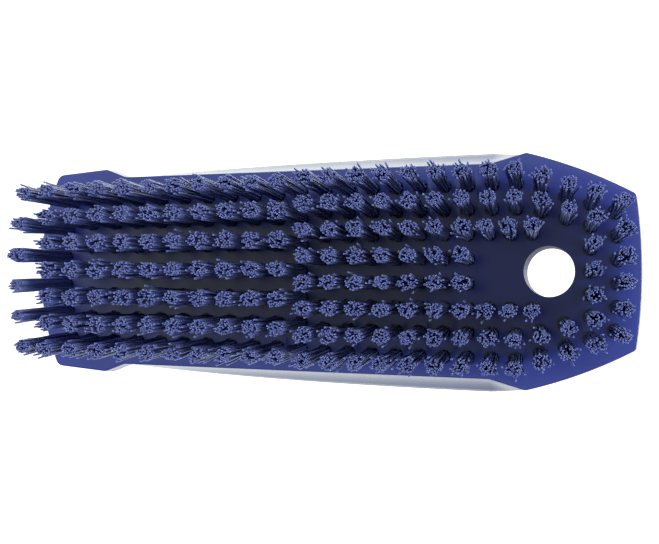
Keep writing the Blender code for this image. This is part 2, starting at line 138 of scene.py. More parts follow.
# Filaments
FILAMENT_RADIUS = 0.31 * MM
FILAMENT_SIDE_COUNT = 5
FILAMENT_STATIONS = (0.0, 0.3, 0.62, 0.86, 1.0)
FILAMENTS_PER_TUFT = 38
FILAMENTS_BEHIND_HOLE = 34
ROOT_BUNDLE_RADIUS = 1.85 * MM
ROOT_DEPTH = 1.2 * MM
TIP_SPREAD_RADIUS = 2.65 * MM
TIP_GAP = 0.6 * MM
TIP_SCATTER = 0.32 * MM
SPLAY_ONSET_POWER = 1.6
GOLDEN_TURN = math.pi * (3.0 - math.sqrt(5.0))
CLUMP_COUNT_RANGE = (7, 11)
CLUMP_REACH_RANGE = (0.05, 0.95)
CLUMP_PULL = 0.28
CLUMP_PULL_RANGE = (0.3, 1.4)
PUSH_COUNT = 14
PUSH_SHARE = 0.5
STRAY_CHOICE = 3
STRAY_RANGE = (1.15, 1.45)
STRETCH_ALONG_RANGE = (1.02, 1.14)
STRETCH_ACROSS_RANGE = (0.84, 0.96)
WAVE = 0.16 * MM
WAVE_RANGE = (0.3, 1.4)
WAVE_TURN = 5.0
TRIM_ROUGHNESS = 0.25 * MM
FIRST_SEED = 100

# How far a row's tufts splay, the stray filaments in each tuft and the furthest that any filament
# reaches, and how much further than the fan the tufts lean towards the heel
Looseness = namedtuple("Looseness", "least_splay most_splay stray_count reach lean")
FIELD_LOOSENESS = Looseness(0.92, 1.08, 2, 3.6 * MM, 0.0)
FRONT_LOOSENESS = Looseness(0.98, 1.12, 2, 3.7 * MM, 0.0)
FLANK_LOOSENESS = Looseness(0.94, 1.1, 3, 3.9 * MM, 0.0)
RIGHT_FLANK_LOOSENESS = Looseness(0.92, 1.06, 3, 3.3 * MM, 0.0)
SLANT_LOOSENESS = Looseness(0.94, 1.12, 2, 3.8 * MM, 0.0)
LOOSENESS = {
    "toe_bristles": Looseness(0.75, 1.0, 3, 4.2 * MM, 0.0),
    "front_bristles_1": RIGHT_FLANK_LOOSENESS,
    **{f"front_bristles_{number}": FRONT_LOOSENESS for number in range(2, 7)},
    "front_bristles_7": FLANK_LOOSENESS,
    "rear_bristles_1": RIGHT_FLANK_LOOSENESS,
    "rear_bristles_8": FLANK_LOOSENESS,
    "outer_slant_bristles_right": SLANT_LOOSENESS,
    "outer_slant_bristles_left": SLANT_LOOSENESS,
    "behind_hole_bristles": Looseness(0.96, 1.12, 3, 3.8 * MM, -0.45 * MM),
    "heel_bristles": Looseness(1.0, 1.15, 2, 3.8 * MM, -0.1 * MM),
}

# Set that use has given the bristles: the trimmed face is turned a little against the block
TIP_TWIST = math.radians(0.33)
TIP_TWIST_AT = 130.0 * MM
TIP_SET_BACK = 0.2 * MM

# Fineness of the block
ARC_STEP = math.radians(6.0)
LEAST_ARC_STEP_COUNT = 3
EDGE_STEP_COUNT = 18
FLANK_STEP_COUNT = 48
FACET_STEP_COUNT = 6
HEEL_SIDE_STEP_COUNT = 16
RIM_STEP_COUNT = 4
WALL_STEP_COUNT = 8
SHOULDER_STEP_COUNT = 14
CROWN_STEP_COUNT = 9
HOLE_SIDE_COUNT = 96
TUFT_HOLE_SIDE_COUNT = 16
BLOCK_CREASE_ANGLE = math.radians(32.0)
FILAMENT_CREASE_ANGLE = math.radians(78.0)
LEVEL_NORMAL = 0.9

# Moulded plastic of the block: linear colours, and noise scales per metre
BLOCK_DEEP = (0.023, 0.041, 0.262)
BLOCK_LIGHT = (0.030, 0.050, 0.302)
NOISE_REACH = (0.3, 0.7)
FLOW_SCALE = 55.0
FLOW_DETAIL = 3.0
SMEAR_SCALE = 130.0
SMEAR_DETAIL = 4.0
POLISH_STRETCH = (0.03, 1.0, 1.0)
POLISH_SCALE = 900.0
POLISH_DETAIL = 3.0
POLISH_STRENGTH = 0.05
POLISH_DEPTH = 0.1 * MM
GRAIN_SCALE = 2200.0
GRAIN_DETAIL = 2.0
GRAIN_STRENGTH = 0.03
GRAIN_DEPTH = 0.05 * MM
BLOCK_IOR = 1.5
Gloss = namedtuple("Gloss", "least_roughness most_roughness specular")
MOULDED_GLOSS = Gloss(0.12, 0.18, 0.5)
HOLE_GLOSS = Gloss(0.4, 0.5, 0.1)

# Filaments and their matt cut ends, which are painted paler than the shafts as a painted highlight
# for the light the level ends catch: linear colours, one tone dealt to each filament
FILAMENT_TONES = (
    (0.066, 0.088, 0.295),
    (0.078, 0.102, 0.330),
    (0.090, 0.117, 0.365),
    (0.105, 0.135, 0.405),
)
# Painted highlight: the cut ends carry the same filament colour made lighter, standing in for the
# light the level ends catch
CUT_END_PAINTED_LIGHT_TONES = (
    (0.082, 0.107, 0.340),
    (0.097, 0.125, 0.375),
    (0.112, 0.144, 0.410),
    (0.132, 0.166, 0.450),
)
Finish = namedtuple("Finish", "kind tones roughness specular sheen")
FILAMENT_KINDS = (
    Finish("filament", FILAMENT_TONES, 0.36, 0.34, 0.28),
    Finish("cut_end", CUT_END_PAINTED_LIGHT_TONES, 0.6, 0.3, 0.05),
)
SHEEN_TINT = (0.62, 0.75, 1.0)
SHEEN_ROUGHNESS = 0.5
FILAMENT_IOR = 1.53
SUBSURFACE_RADIUS = (1.0, 1.0, 1.0)
SUBSURFACE_SCALE = 1.1 * MM

# Studio: (height, level) stops, where height runs from -1 straight below to 1 straight above
WHITE = (1.0, 1.0, 1.0)
STUDIO_TINT = (0.94, 1.0, 0.95)
REFLECTED_LEVELS = (
    (-1.0, 0.47),
    (-0.985, 0.57),
    (-0.965, 1.2),
    (-0.8, 1.0),
    (-0.5, 0.5),
    (0.5, 0.4),
    (0.75, 1.1),
    (0.85, 1.27),
    (0.92, 1.47),
    (0.955, 1.3),
    (0.98, 0.98),
    (1.0, 0.88),
)
REFLECTED_TILT = -0.45
LIGHT_LEVELS = ((-1.0, 0.15), (-0.85, 0.1), (0.6, 0.15), (1.0, 1.6))

# Floor
FLOOR_RADIUS = 2.5
FLOOR_SIDE_COUNT = 96
FLOOR_FADE_START = 0.35
FLOOR_COLOUR = (0.86, 0.86, 0.86)
FLOOR_ROUGHNESS = 0.9

# Soft boxes: name, place, width, height and radiance. All face a point over the origin.
AIM_HEIGHT = 0.03
MIRRORED_BOXES = ("box_above",)
SOFT_BOXES = (
    ("box_below_toe_right", (-0.55, -0.48, -0.52), 0.9, 0.36, 3.0),
    ("box_below_toe_left", (-0.55, 0.48, -0.52), 0.9, 0.36, 3.0),
    ("box_below_heel_right", (0.55, -0.48, -0.52), 0.9, 0.36, 3.0),
    ("box_below_heel_left", (0.55, 0.48, -0.52), 0.9, 0.36, 3.0),
    ("box_below_toe", (-0.8, 0.0, -0.4), 0.5, 0.8, 1.4),
    ("box_below_heel", (0.82, 0.0, -0.42), 0.5, 0.8, 2.8),
    ("box_above", (0.7, -0.35, 1.1), 0.9, 0.9, 2.6),
)

# Camera at the photograph's place: metres, degrees and millimetres
CAMERA_PLACE = (0.093908, 0.014612, -0.612587)
CAMERA_TURN = (-178.704, -8.3804, -0.3424)
CAMERA_LENS = 111.08
CAMERA_SENSOR_WIDTH = 36.0
CAMERA_CLIP = (0.01, 20.0)


def lerp(start, end, share):
    return start + (end - start) * share


def smooth_step(share):
    share = min(max(share, 0.0), 1.0)
    return share * share * (3.0 - 2.0 * share)


def sagitta(radius, half_chord):
    """How far an arc's end lies behind its middle."""
    return radius - math.sqrt(radius * radius - half_chord * half_chord)


def fillet(before, corner, after, radius):
    """Points of the arc that rounds a corner between its two neighbours."""
    to_before = (before - corner).normalized()
    to_after = (after - corner).normalized()
    half_angle = to_before.angle(to_after) / 2.0
    setback = radius / math.tan(half_angle)
    centre = corner + (to_before + to_after).normalized() * radius / math.sin(half_angle)
    start = corner + to_before * setback - centre
    end = corner + to_after * setback - centre
    turn = start.angle(end)
    steps = max(LEAST_ARC_STEP_COUNT, math.ceil(turn / ARC_STEP))
    points = []
    for step in range(steps + 1):
        share = step / steps
        first = math.sin((1.0 - share) * turn) / math.sin(turn)
        second = math.sin(share * turn) / math.sin(turn)
        points.append(centre + start * first + end * second)
    return points


def edge_arc(tip_at, radius, half_width, towards):
    """Half of a bowed end edge, from the centre line to one corner, both left out."""
    points = []
    for step in range(1, EDGE_STEP_COUNT):
        side = half_width * step / EDGE_STEP_COUNT
        points.append(Vector((tip_at + towards * sagitta(radius, side), side)))
    return points


def straight(start, end, steps):
    """Points between two ends, both left out."""
    return [start.lerp(end, step / steps) for step in range(1, steps)]


def bowed(start, end, radius, steps):
    """Points of an arc that bulges outwards between two ends, both left out."""
    half_chord = (end - start).length / 2.0
    along = (end - start).normalized()
    outward = Vector((-along.y, along.x))
    points = []
    for step in range(1, steps):
        share = step / steps
        off_middle = (2.0 * share - 1.0) * half_chord
        bulge = sagitta(radius, half_chord) - sagitta(radius, off_middle)
        points.append(start.lerp(end, share) + outward * bulge)
    return points


def heel_corner_at():
    return HEEL_END_AT - sagitta(HEEL_EDGE_RADIUS, HEEL_CORNER_HALF_WIDTH)


def half_outline():
    """Underside outline on the +side half, from the toe to the heel on the centre line."""
    toe_corner_at = sagitta(TOE_EDGE_RADIUS, TOE_CORNER_HALF_WIDTH)
    toe_corner = Vector((toe_corner_at, TOE_CORNER_HALF_WIDTH))
    toe_flare = Vector((TOE_FLARE_AT, TOE_FLARE_HALF_WIDTH))
    waist = Vector((WAIST_AT, WAIST_HALF_WIDTH))
    flank_end = Vector((FLANK_END_AT, FLANK_END_HALF_WIDTH))
    heel_flare = Vector((HEEL_FLARE_AT, HEEL_FLARE_HALF_WIDTH))
    heel_corner = Vector((heel_corner_at(), HEEL_CORNER_HALF_WIDTH))
    toe_edge = edge_arc(0.0, TOE_EDGE_RADIUS, TOE_CORNER_HALF_WIDTH, 1.0)[:-1]
    heel_edge = edge_arc(HEEL_END_AT, HEEL_EDGE_RADIUS, HEEL_CORNER_HALF_WIDTH, -1.0)[:-1]
    heel_edge.reverse()
    line = [(point, None) for point in [Vector((0.0, 0.0))] + toe_edge]
    line += [(toe_corner, TOE_CORNER_RADIUS), (toe_flare, TOE_FLARE_RADIUS), (waist, WAIST_RADIUS)]
    line += [(point, None) for point in straight(waist, flank_end, FLANK_STEP_COUNT)]
    line += [(flank_end, FLANK_END_RADIUS)]
    line += [(point, None) for point in straight(flank_end, heel_flare, FACET_STEP_COUNT)]
    line += [(heel_flare, HEEL_FLARE_RADIUS)]
    heel_side = bowed(heel_flare, heel_corner, HEEL_SIDE_RADIUS, HEEL_SIDE_STEP_COUNT)
    line += [(point, None) for point in heel_side]
    line += [(heel_corner, HEEL_CORNER_RADIUS)]
    line += [(point, None) for point in heel_edge + [Vector((HEEL_END_AT, 0.0))]]
    points = []
    for index, (point, radius) in enumerate(line):
        if radius is None:
            points.append(point)
        else:
            points += fillet(line[index - 1][0], point, line[index + 1][0], radius)
    return points


def full_outline():
    """Closed outline: the +side half, then its mirror image back to the toe."""
    half = half_outline()
    return half + [Vector((point.x, -point.y)) for point in reversed(half[1:-1])]


def outward_normals(outline):
    normals = []
    for index, point in enumerate(outline):
        into = (point - outline[index - 1]).normalized()
        away = (outline[(index + 1) % len(outline)] - point).normalized()
        along = (into + away).normalized()
        normals.append(Vector((-along.y, along.x)))
    return normals


def flank_half_width(at):
    share = (at - WAIST_AT) / (FLANK_END_AT - WAIST_AT)
    return lerp(WAIST_HALF_WIDTH, FLANK_END_HALF_WIDTH, share)


def heel_half_width(at):
    share = (at - HEEL_FLARE_AT) / (heel_corner_at() - HEEL_FLARE_AT)
    return lerp(HEEL_FLARE_HALF_WIDTH, HEEL_CORNER_HALF_WIDTH, share)


def finger_recess(at):
    """How much further in the underside's edge lies than the top of the flank."""
    if at <= WAIST_AT or at >= HEEL_FLARE_AT:
        return 0.0
    if at > FLANK_END_AT:
        return FINGER_RECESS * (HEEL_FLARE_AT - at) / (HEEL_FLARE_AT - FLANK_END_AT)
    share = (at - WAIST_AT) / (FLANK_END_AT - WAIST_AT)
    return FINGER_RECESS * (1.0 - (1.0 - share) ** RECESS_ONSET_POWER)


def top_height(at):
    """Height of the ridge of the rounded top above the underside."""
    if at < PALM_AT:
        return lerp(TOE_HEIGHT, PALM_HEIGHT, smooth_step(at / PALM_AT))
    return lerp(PALM_HEIGHT, HEEL_HEIGHT, smooth_step((at - PALM_AT) / (HEEL_END_AT - PALM_AT)))


def in_frame(at, side, height):
    """A point of the part's source in the frame, kept inside the CAD model's box."""
    point = Vector((at - MIDDLE_AT, side, height))
    for axis in range(3):
        point[axis] = min(max(point[axis], cad_low[axis]), cad_high[axis])
    return point


def block_rings():
    """Rings of points from the underside up over the shoulder, all with as many points."""
    outline = full_outline()
    normals = outward_normals(outline)
    rings = []
    for step in range(RIM_STEP_COUNT + 1):
        angle = math.pi / 2.0 * step / RIM_STEP_COUNT
        inset = RIM_RADIUS * (1.0 - math.sin(angle))
        height = UNDERSIDE + RIM_RADIUS * (1.0 - math.cos(angle))
        places = [point - normal * inset for point, normal in zip(outline, normals)]
        rings.append([in_frame(place.x, place.y, height) for place in places])
    brow = []
    for point, normal in zip(outline, normals):
        place = point + normal * WALL_DRAFT
        place.y += math.copysign(finger_recess(point.x), point.y)
        brow.append(place)
    for step in range(1, WALL_STEP_COUNT + 1):
        share = step / WALL_STEP_COUNT
        ring = []
        for point, place in zip(outline, brow):
            top = WALL_SHARE * top_height(place.x)
            across = point.lerp(place, share ** WALL_HOLLOW_POWER)
            ring.append(in_frame(across.x, across.y, UNDERSIDE + lerp(RIM_RADIUS, top, share)))
        rings.append(ring)
    for step in range(1, SHOULDER_STEP_COUNT + 1):
        angle = math.pi / 2.0 * step / SHOULDER_STEP_COUNT
        inset = 1.0 - math.cos(angle)
        scale_side = 1.0 - inset * SHOULDER_INSET_SIDE / FLANK_END_HALF_WIDTH
        share = lerp(WALL_SHARE, SHOULDER_SHARE, math.sin(angle))
        rings.append([shoulder_point(place, inset, scale_side, share) for place in brow])
    for step in range(1, CROWN_STEP_COUNT + 1):
        part = step / (CROWN_STEP_COUNT + 1)
        scale_side = (1.0 - SHOULDER_INSET_SIDE / FLANK_END_HALF_WIDTH) * (1.0 - part)
        share = lerp(SHOULDER_SHARE, 1.0, 1.0 - (1.0 - part) ** 2)
        rings.append([shoulder_point(place, 1.0 + part, scale_side, share) for place in brow])
    return rings


def shoulder_point(place, inset, scale_side, share):
    half_length = HEEL_END_AT / 2.0
    scale_at = 1.0 - inset * SHOULDER_INSET_END / half_length
    at = half_length + (place.x - half_length) * scale_at
    return in_frame(at, place.y * scale_side, UNDERSIDE + share * top_height(at))


def mesh_from(name, shape):
    bmesh.ops.recalc_face_normals(shape, faces=shape.faces)
    mesh = bpy.data.meshes.new(name)
    shape.to_mesh(mesh)
    shape.free()
    return mesh


def link(name, mesh):
    thing = bpy.data.objects.new(name, mesh)
    bpy.context.scene.collection.objects.link(thing)
    return thing


def solid_block_mesh():
    shape = bmesh.new()
    rings = [[shape.verts.new(point) for point in ring] for ring in block_rings()]
    count = len(rings[0])
    for lower, upper in zip(rings, rings[1:]):
        for index in range(count):
            following = (index + 1) % count
            shape.faces.new((lower[index], lower[following], upper[following], upper[index]))
    shape.faces.new(list(reversed(rings[0])))
    ridge = rings[-1]
    for index in range(count // 2):
        near = [ridge[index], ridge[index + 1]]
        far = [ridge[(-index - 1) % count], ridge[-index % count]]
        shape.faces.new(list(dict.fromkeys(near + far)))
    return mesh_from("block_body", shape)


def add_turned(shape, at, side, profile, sides):
    """A closed turned body on an upright axis, from its (radius, height) profile."""
    rings = []
    for radius, height in profile:
        ring = []
        for step in range(sides):
            angle = 2.0 * math.pi * step / sides
            place = (at - MIDDLE_AT + radius * math.cos(angle), side + radius * math.sin(angle))
            ring.append(shape.verts.new((*place, height)))
        rings.append(ring)
    for lower, upper in zip(rings, rings[1:]):
        for step in range(sides):
            following = (step + 1) % sides
            shape.faces.new((lower[step], lower[following], upper[following], upper[step]))
    shape.faces.new(list(reversed(rings[0])))
    shape.faces.new(rings[-1])


def hole_cutter_mesh(rows):
    """The hanging hole with its broken top rim, and a blind hole for each tuft."""
    shape = bmesh.new()
    top = UNDERSIDE + top_height(HOLE_AT)
    radius = HOLE_DIAMETER / 2.0
    reach = HOLE_DIAMETER
    profile = [
        (radius, UNDERSIDE - reach),
        (radius, top - HOLE_TOP_CHAMFER),
        (radius + reach, top - HOLE_TOP_CHAMFER + reach),
    ]
    add_turned(shape, HOLE_AT, 0.0, profile, HOLE_SIDE_COUNT)
    blind = [
        (TUFT_HOLE_RADIUS, UNDERSIDE - TUFT_HOLE_DEPTH),
        (TUFT_HOLE_RADIUS, UNDERSIDE + TUFT_HOLE_DEPTH),
    ]
    for _, roots, _ in rows:
        for root in roots:
            add_turned(shape, root.x, root.y, blind, TUFT_HOLE_SIDE_COUNT)
    return mesh_from("hole_cutter", shape)


def drilled_block(rows, finishes):
    block = link("block_body", solid_block_mesh())
    cutter = link("hole_cutter", hole_cutter_mesh(rows))
    modifier = block.modifiers.new("holes", "BOOLEAN")
    modifier.operation = "DIFFERENCE"
    modifier.solver = "EXACT"
    modifier.object = cutter
    graph = bpy.context.evaluated_depsgraph_get()
    mesh = bpy.data.meshes.new_from_object(block.evaluated_get(graph))
    block.modifiers.clear()
    block.data = mesh
    bpy.data.objects.remove(cutter, do_unlink=True)
    mesh.materials.clear()
    for finish in finishes:
        mesh.materials.append(finish)
    middle = Vector((HOLE_AT - MIDDLE_AT, 0.0))
    hole_reach = HOLE_DIAMETER / 2.0 + HOLE_TOP_CHAMFER
    for polygon in mesh.polygons:
        polygon.use_smooth = True
        off_axis = (polygon.center.xy - middle).length
        in_hole = off_axis < hole_reach and abs(polygon.normal.z) < LEVEL_NORMAL
        polygon.material_index = 1 if in_hole else 0
    mesh.set_sharp_from_angle(angle=BLOCK_CREASE_ANGLE)
    return block


def evenly(count, pitch):
    return [pitch * (index - (count - 1) / 2.0) for index in range(count)]


def field_row(first_column, columns, share, edge_margin):
    """Roots of one lengthwise row, which spreads with the flanks towards the heel."""
    roots = []
    for column in range(first_column, first_column + columns):
        at = FIRST_COLUMN_AT + TUFT_PITCH * column
        roots.append(Vector((at, share * (flank_half_width(at) - edge_margin))))
    return roots


def heel_row_at(side):
    return HEEL_END_AT - HEEL_ROW_INSET - sagitta(HEEL_EDGE_RADIUS, side)


def slant_side(at):
    return min(flank_half_width(at), heel_half_width(at)) - SLANT_EDGE_MARGIN


def tuft_rows():
    """Every tuft row: its name, its roots and the filaments in each of its tufts."""
    rows = []
    toe = []
    for side in evenly(TOE_ROW_TUFT_COUNT, TOE_ROW_PITCH):
        toe.append(Vector((TOE_ROW_INSET + sagitta(TOE_ROW_BOW_RADIUS, side), side)))
    rows.append(("toe_tuft_row", toe, FILAMENTS_PER_TUFT))
    for number, share in enumerate(FRONT_ROW_SHARES, start=1):
        roots = field_row(0, FRONT_COLUMN_COUNT, share, FRONT_EDGE_MARGIN)
        rows.append((f"front_tuft_row_{number}", roots, FILAMENTS_PER_TUFT))
    for number, columns in enumerate(REAR_COLUMN_COUNTS, start=1):
        share = lerp(-1.0, 1.0, (number - 1) / (len(REAR_COLUMN_COUNTS) - 1))
        roots = field_row(FRONT_COLUMN_COUNT, columns, share, REAR_EDGE_MARGIN)
        if number in ROWS_BESIDE_HOLE:
            last_at = roots[-1].x
            for step in range(1, HOLE_FLANK_TUFT_COUNT + 1):
                at = last_at + HOLE_FLANK_PITCH * step
                roots.append(Vector((at, share * (flank_half_width(at) - REAR_EDGE_MARGIN))))
        rows.append((f"rear_tuft_row_{number}", roots, FILAMENTS_PER_TUFT))
    last_column = FRONT_COLUMN_COUNT + REAR_COLUMN_COUNTS[0] - 1
    last_column_at = FIRST_COLUMN_AT + TUFT_PITCH * last_column
    behind_at = lerp(HOLE_AT + HOLE_DIAMETER / 2.0, heel_row_at(0.0), BEHIND_HOLE_SHARE)
    start_side = slant_side(lerp(last_column_at, behind_at, 1.0 / SLANT_TUFT_COUNT))
    for place, spacing in (("outer", 0.0), ("inner", SLANT_ROW_SPACING)):
        for hand, direction in (("right", -1.0), ("left", 1.0)):
            roots = []
            for tuft in range(SLANT_TUFT_COUNT):
                at = lerp(last_column_at, behind_at, (tuft + 1) / SLANT_TUFT_COUNT)
                side = lerp(start_side, slant_side(behind_at), tuft / (SLANT_TUFT_COUNT - 1))
                roots.append(Vector((at, direction * (side - spacing))))
            rows.append((f"{place}_slant_tuft_row_{hand}", roots, FILAMENTS_PER_TUFT))
    behind = [Vector((behind_at, side)) for side in evenly(BEHIND_HOLE_TUFT_COUNT, BEHIND_HOLE_PITCH)]
    rows.append(("behind_hole_tuft_row", behind, FILAMENTS_BEHIND_HOLE))
    heel_sides = evenly(HEEL_ROW_TUFT_COUNT, HEEL_ROW_PITCH)
    heel = [Vector((heel_row_at(side), side)) for side in heel_sides]
    rows.append(("heel_tuft_row", heel, FILAMENTS_PER_TUFT))
    return rows


def tip_of(root):
    """Where a tuft that starts at this root meets the floor."""
    lean_at = (root.x - FAN_CENTRE_AT) * UNDERSIDE / FAN_RADIUS_LENGTHWISE
    lean_side = root.y * UNDERSIDE / FAN_RADIUS_SIDEWAYS
    return Vector((root.x + lean_at, root.y + lean_side))


def bundle(chance, count, looseness):
    """Places of the filaments in their hole and at the trimmed end, from the tuft's middle."""
    index = np.arange(count)
    angle = index * GOLDEN_TURN + chance.uniform(0.0, 2.0 * math.pi)
    share = np.sqrt((index + 0.5) / count)
    way = np.stack([np.cos(angle), np.sin(angle)], 1)
    root = way * (share * ROOT_BUNDLE_RADIUS)[:, None]
    tip = way * (share * TIP_SPREAD_RADIUS)[:, None]
    tip += chance.normal(0.0, TIP_SCATTER, (count, 2))
    clump_count = int(chance.integers(*CLUMP_COUNT_RANGE))
    clump_angle = np.arange(clump_count) * GOLDEN_TURN + chance.uniform(0.0, 2.0 * math.pi)
    clump_reach = np.sqrt(chance.uniform(*CLUMP_REACH_RANGE, clump_count)) * TIP_SPREAD_RADIUS
    clumps = np.stack([np.cos(clump_angle), np.sin(clump_angle)], 1) * clump_reach[:, None]
    nearest = np.argmin(np.linalg.norm(tip[:, None] - clumps[None], axis=2), axis=1)
    pull = CLUMP_PULL * chance.uniform(*CLUMP_PULL_RANGE, count)
    tip += (clumps[nearest] - tip) * pull[:, None]
    for _ in range(PUSH_COUNT):
        apart = tip[:, None] - tip[None]
        gap = np.linalg.norm(apart, axis=2) + np.eye(count)
        push = np.clip(TIP_GAP - gap, 0.0, None) * (1.0 - np.eye(count))
        tip += PUSH_SHARE * (apart / gap[:, :, None] * push[:, :, None]).sum(1)
    stray_count = looseness.stray_count
    outer = np.argsort(np.linalg.norm(tip, axis=1))[-STRAY_CHOICE * stray_count :]
    strays = chance.choice(outer, stray_count, replace=False)
    tip[strays] *= chance.uniform(*STRAY_RANGE, (stray_count, 1))
    splay = chance.uniform(looseness.least_splay, looseness.most_splay)
    along = chance.uniform(*STRETCH_ALONG_RANGE)
    across = chance.uniform(*STRETCH_ACROSS_RANGE)
    tip *= splay * np.array([along, across])
    length = np.linalg.norm(tip, axis=1)
    tip *= np.minimum(1.0, looseness.reach / length)[:, None]
    return root, tip


def filament_lines(chance, root, count, looseness):
    """Centre lines of one tuft's filaments: an array of filament, station, coordinate."""
    feet, ends = bundle(chance, count, looseness)
    end = tip_of(root)
    twist = math.tan(TIP_TWIST) * (TIP_TWIST_AT - end.x)
    end += Vector((looseness.lean - TIP_SET_BACK, twist))
    lines = np.zeros((count, len(FILAMENT_STATIONS), 3))
    wave_way = chance.uniform(0.0, 2.0 * math.pi, count)
    wave_size = WAVE * chance.uniform(*WAVE_RANGE, count)
    wave_phase = chance.uniform(0.0, 2.0 * math.pi, count)
    trim = TRIM_ROUGHNESS * chance.uniform(0.0, 1.0, count) ** 2
    for number, share in enumerate(FILAMENT_STATIONS):
        splay = share ** SPLAY_ONSET_POWER
        middle = np.array([lerp(root.x, end.x, share) - MIDDLE_AT, lerp(root.y, end.y, share)])
        swing = wave_size * math.sin(math.pi * share) * np.sin(wave_phase + WAVE_TURN * share)
        sway = np.stack([np.cos(wave_way), np.sin(wave_way)], 1) * swing[:, None]
        lines[:, number, :2] = middle + feet + (ends - feet) * splay + sway
        lines[:, number, 2] = (UNDERSIDE + ROOT_DEPTH) * (1.0 - share) + trim * share
    return lines


def tuft_row_object(name, roots, count, chance):
    """One mesh with all the filaments of a row, each a closed tube cut level at both ends."""
    looseness = LOOSENESS.get(name, FIELD_LOOSENESS)
    lines = np.concatenate([filament_lines(chance, root, count, looseness) for root in roots])
    strands, stations = lines.shape[:2]
    low = np.array(cad_low) + FILAMENT_RADIUS
    high = np.array(cad_high) - FILAMENT_RADIUS
    lines[:, :, :2] = np.clip(lines[:, :, :2], low[:2], high[:2])
    sides = FILAMENT_SIDE_COUNT
    angle = 2.0 * math.pi * np.arange(sides) / sides
    circle = np.stack([np.cos(angle), np.sin(angle), np.zeros(sides)], 1) * FILAMENT_RADIUS
    points = lines[:, :, None, :] + circle[None, None]
    start = (np.arange(strands) * stations * sides)[:, None, None]
    ring = (np.arange(stations - 1) * sides)[None, :, None]
    corner = np.arange(sides)[None, None, :]
    following = (np.arange(sides) + 1) % sides
    here = start + ring + corner
    there = start + ring + following[None, None, :]
    walls = np.stack([there, here, here + sides, there + sides], 3).reshape(-1, 4)
    first = start[:, 0] + np.arange(sides)
    last = start[:, 0] + (stations - 1) * sides + np.arange(sides)[::-1]
    mesh = bpy.data.meshes.new(name)
    faces = walls.tolist() + first.tolist() + last.tolist()
    mesh.from_pydata(points.reshape(-1, 3).tolist(), [], faces)
    smooth = np.ones(len(mesh.polygons), bool)
    smooth[len(walls) :] = False
    mesh.polygons.foreach_set("use_smooth", smooth)
    tone = chance.integers(0, len(FILAMENT_TONES), strands)
    wall_tone = np.repeat(tone, (stations - 1) * sides)
    finish = np.concatenate([wall_tone, tone, tone + len(FILAMENT_TONES)])
    mesh.polygons.foreach_set("material_index", finish.astype(np.int32))
    mesh.set_sharp_from_angle(angle=FILAMENT_CREASE_ANGLE)
    return link(name, mesh)


def new_material(name):
    material = bpy.data.materials.new(name)
    material.use_nodes = True
    nodes = material.node_tree.nodes
    return material, nodes, material.node_tree.links, nodes["Principled BSDF"]


def noise(nodes, links, source, scale, detail):
    texture = nodes.new("ShaderNodeTexNoise")
    texture.inputs["Scale"].default_value = scale
    texture.inputs["Detail"].default_value = detail
    links.new(source, texture.inputs["Vector"])
    return texture.outputs["Fac"]


def spread(nodes, links, source, low, high, to_low, to_high):
    reach = nodes.new("ShaderNodeMapRange")
    reach.inputs["From Min"].default_value = low
    reach.inputs["From Max"].default_value = high
    reach.inputs["To Min"].default_value = to_low
    reach.inputs["To Max"].default_value = to_high
    links.new(source, reach.inputs["Value"])
    return reach.outputs["Result"]


def between(nodes, links, factor, first, second):
    mix = nodes.new("ShaderNodeMix")
    mix.data_type = "RGBA"
    mix.inputs["A"].default_value = (*first, 1.0)
    mix.inputs["B"].default_value = (*second, 1.0)
    links.new(factor, mix.inputs["Factor"])
    return mix.outputs["Result"]


def bumped(nodes, links, height, strength, distance):
    bump = nodes.new("ShaderNodeBump")
    bump.inputs["Strength"].default_value = strength
    bump.inputs["Distance"].default_value = distance
    links.new(height, bump.inputs["Height"])
    return bump


def block_finish(name, gloss):
    """Moulded plastic with faint flow marks, lengthwise polish lines, fine grain and uneven gloss."""
    material, nodes, links, shader = new_material(name)
    place = nodes.new("ShaderNodeTexCoord").outputs["Object"]
    flow = noise(nodes, links, place, FLOW_SCALE, FLOW_DETAIL)
    depth = spread(nodes, links, flow, *NOISE_REACH, 0.0, 1.0)
    links.new(between(nodes, links, depth, BLOCK_DEEP, BLOCK_LIGHT), shader.inputs["Base Color"])
    smear = noise(nodes, links, place, SMEAR_SCALE, SMEAR_DETAIL)
    roughness = (gloss.least_roughness, gloss.most_roughness)
    links.new(spread(nodes, links, smear, *NOISE_REACH, *roughness), shader.inputs["Roughness"])
    lengthwise = nodes.new("ShaderNodeMapping")
    lengthwise.inputs["Scale"].default_value = POLISH_STRETCH
    links.new(place, lengthwise.inputs["Vector"])
    lines = noise(nodes, links, lengthwise.outputs["Vector"], POLISH_SCALE, POLISH_DETAIL)
    polish = bumped(nodes, links, lines, POLISH_STRENGTH, POLISH_DEPTH)
    pits = noise(nodes, links, place, GRAIN_SCALE, GRAIN_DETAIL)
    grain = bumped(nodes, links, pits, GRAIN_STRENGTH, GRAIN_DEPTH)
    links.new(polish.outputs["Normal"], grain.inputs["Normal"])
    links.new(grain.outputs["Normal"], shader.inputs["Normal"])
    shader.inputs["Specular IOR Level"].default_value = gloss.specular
    shader.inputs["IOR"].default_value = BLOCK_IOR
    return material


